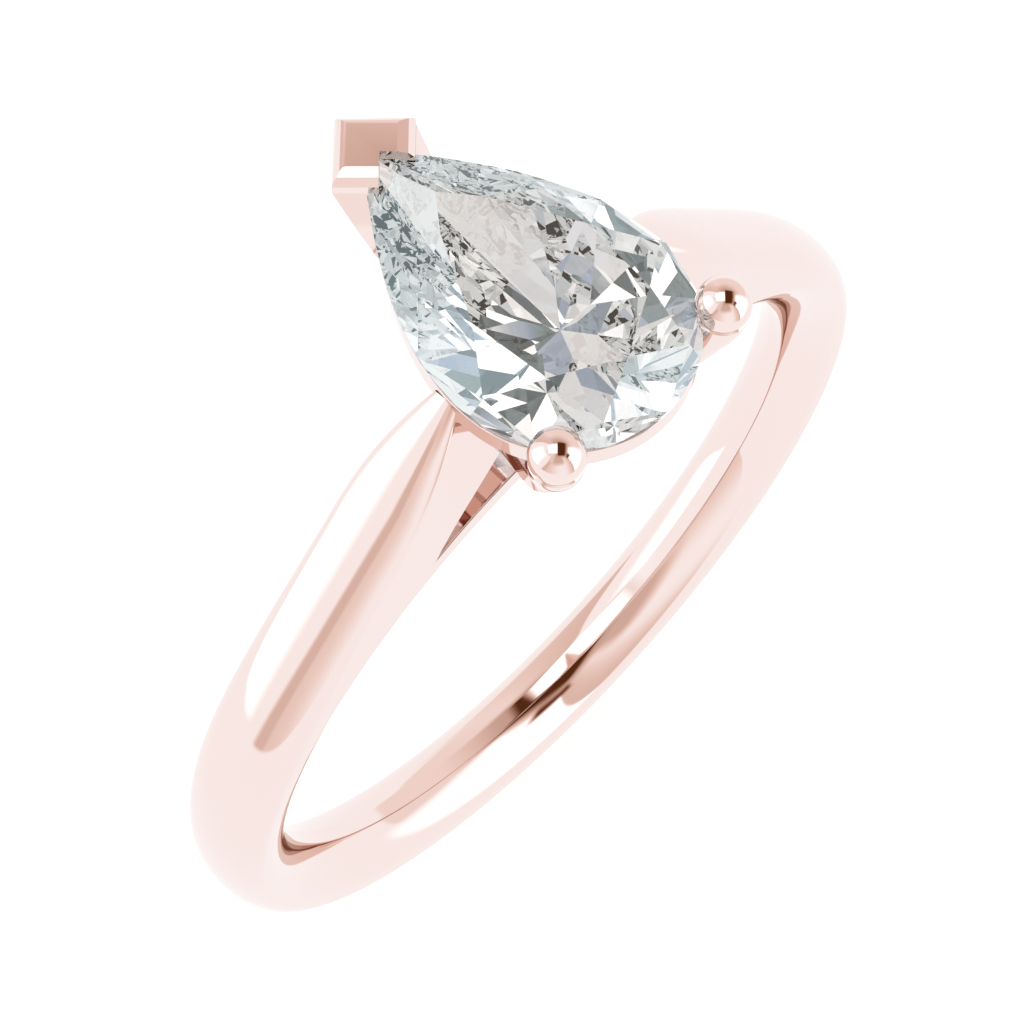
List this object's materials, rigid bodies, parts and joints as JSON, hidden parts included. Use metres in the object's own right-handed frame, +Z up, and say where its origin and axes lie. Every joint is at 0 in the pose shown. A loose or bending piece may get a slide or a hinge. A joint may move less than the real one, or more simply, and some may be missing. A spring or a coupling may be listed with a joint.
{
  "type": "engagement ring",
  "caption": "Cathedral solitaire finger ring with a domed band, raised shoulders and a claw head holding a pear-cut stone.",
  "frame": {"origin": "centre of the finger hole, halfway across the band", "axes": "+Z runs up through the bridge, the head and the stone; +Y is the axis of the finger hole, towards the stone's point; +X runs towards the right shoulder"},
  "size_m": [0.0206, 0.0086, 0.0241],
  "materials": {
    "rose_gold": "polished rose gold",
    "diamond": "clear faceted stone"
  },
  "bodies": {
    "root": {"shank": "rose_gold", "bridge": "rose_gold", "shoulder_left": "rose_gold", "shoulder_right": "rose_gold", "head_base": "rose_gold", "head_peg": "rose_gold", "gallery_rail": "rose_gold", "v_prong": "rose_gold", "claw_left": "rose_gold", "claw_right": "rose_gold", "claw_ball_left": "rose_gold", "claw_ball_right": "rose_gold", "pear_diamond": "diamond"}
  },
  "joints": []
}
